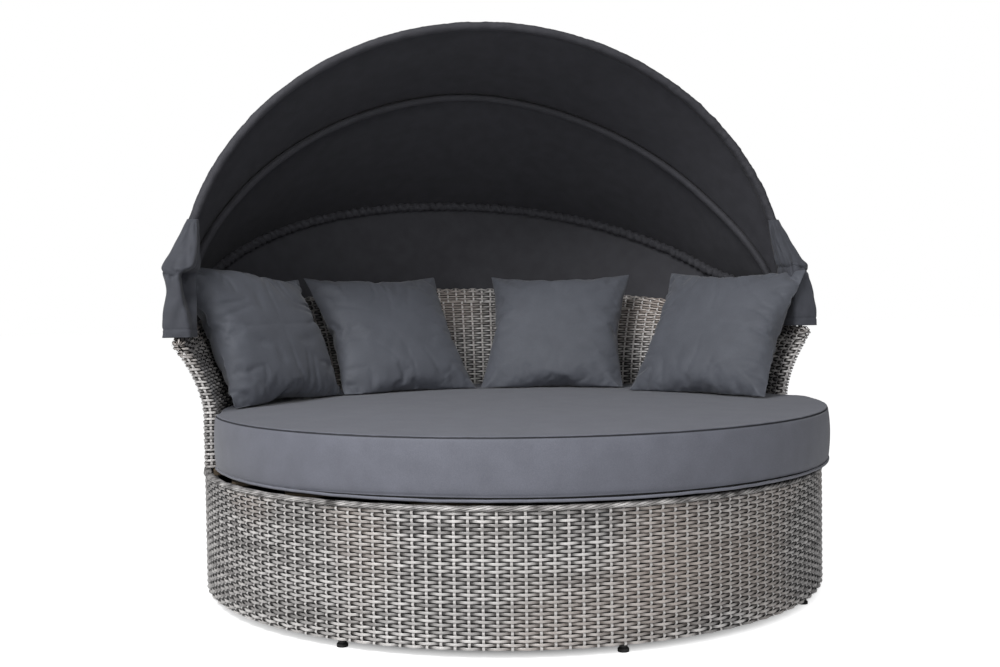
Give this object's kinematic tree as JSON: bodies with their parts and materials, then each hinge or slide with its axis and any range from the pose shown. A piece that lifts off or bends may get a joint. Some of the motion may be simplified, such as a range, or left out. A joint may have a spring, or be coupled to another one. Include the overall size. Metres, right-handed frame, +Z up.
{
  "type": "outdoor daybed with canopy",
  "caption": "Round outdoor daybed with a woven drum base, a curved woven backrest, a thick round seat cushion, scatter cushions and a cloth canopy on bows that fold back.",
  "frame": {"origin": "on the floor under the middle of the round base, on the bottom of the centre foot", "axes": "+Z up, the open front faces -Y, +X to the sitter's left"},
  "size_m": [2.0206, 1.9793, 1.685],
  "materials": {
    "woven_strip": "flat woven plastic strips, mixed light greys, slightly glossy",
    "coated_steel": "dark grey powder coat",
    "bow_aluminium": "dark grey powder coat on tube",
    "bolt_steel": "plain stainless",
    "black_plastic": "moulded, matte",
    "slat_timber": "sawn, unpainted",
    "canopy_cloth": "coated polyester, charcoal",
    "cushion_cloth": "woven polyester, slate grey, slight sheen",
    "pillow_cloth": "woven polyester, slate grey, slight sheen"
  },
  "bodies": {
    "daybed": {"base_weave": "woven_strip", "base_rim_braid": "woven_strip", "base_frame": "coated_steel", "foot_1": "black_plastic", "foot_2": "black_plastic", "foot_3": "black_plastic", "foot_4": "black_plastic", "foot_5": "black_plastic", "foot_6": "black_plastic", "foot_7": "black_plastic", "foot_8": "black_plastic", "foot_centre": "black_plastic", "seat_slat_1": "slat_timber", "seat_slat_2": "slat_timber", "seat_slat_3": "slat_timber", "seat_slat_4": "slat_timber", "seat_slat_5": "slat_timber", "seat_slat_6": "slat_timber", "seat_slat_7": "slat_timber", "back_upstand": "woven_strip", "backrest_weave": "woven_strip", "backrest_frame": "coated_steel", "backrest_bolt_1": "bolt_steel", "backrest_bolt_2": "bolt_steel", "backrest_bolt_3": "bolt_steel", "backrest_bolt_4": "bolt_steel", "backrest_bolt_5": "bolt_steel", "pivot_plate_left": "coated_steel", "pivot_plate_right": "coated_steel", "pivot_bolt_left": "bolt_steel", "pivot_bolt_right": "bolt_steel", "pivot_nut_left": "bolt_steel", "pivot_nut_right": "bolt_steel", "middle_bush_left": "black_plastic", "middle_bush_right": "black_plastic", "front_bush_left": "black_plastic", "front_bush_right": "black_plastic", "rear_bush_left": "black_plastic", "rear_bush_right": "black_plastic", "canopy_boot_left": "canopy_cloth", "canopy_boot_right": "canopy_cloth", "seat_cushion": "cushion_cloth", "pillow_left_end": "pillow_cloth", "pillow_left": "pillow_cloth", "pillow_right": "pillow_cloth", "pillow_right_end": "pillow_cloth"},
    "rear_hoop": {"rear_bow": "bow_aluminium", "canopy_rear_panel": "canopy_cloth"},
    "middle_hoop": {"middle_bow": "bow_aluminium", "canopy_middle_panel": "canopy_cloth"},
    "front_hoop": {"front_bow": "bow_aluminium", "canopy_front_panel": "canopy_cloth"}
  },
  "joints": [
    {"name": "rear_fold", "type": "hinge", "parent": "daybed", "child": "rear_hoop", "pos_m": [0, 0.13, 0.755], "axis": [-1, 0, 0], "range_deg": [0, 22.4], "deforming": ["canopy_rear_panel", "canopy_boot_left", "canopy_boot_right"]},
    {"name": "middle_fold", "type": "hinge", "parent": "rear_hoop", "child": "middle_hoop", "pos_m": [0, 0.13, 0.755], "axis": [-1, 0, 0], "range_deg": [0, 23.4], "deforming": ["canopy_middle_panel"]},
    {"name": "front_fold", "type": "hinge", "parent": "middle_hoop", "child": "front_hoop", "pos_m": [0, 0.13, 0.755], "axis": [-1, 0, 0], "range_deg": [0, 16.5], "deforming": ["canopy_front_panel"]}
  ],
  "couplings": [
    {"joint": "middle_fold", "follows": "rear_fold", "ratio": 1.04},
    {"joint": "front_fold", "follows": "rear_fold", "ratio": 0.732}
  ]
}
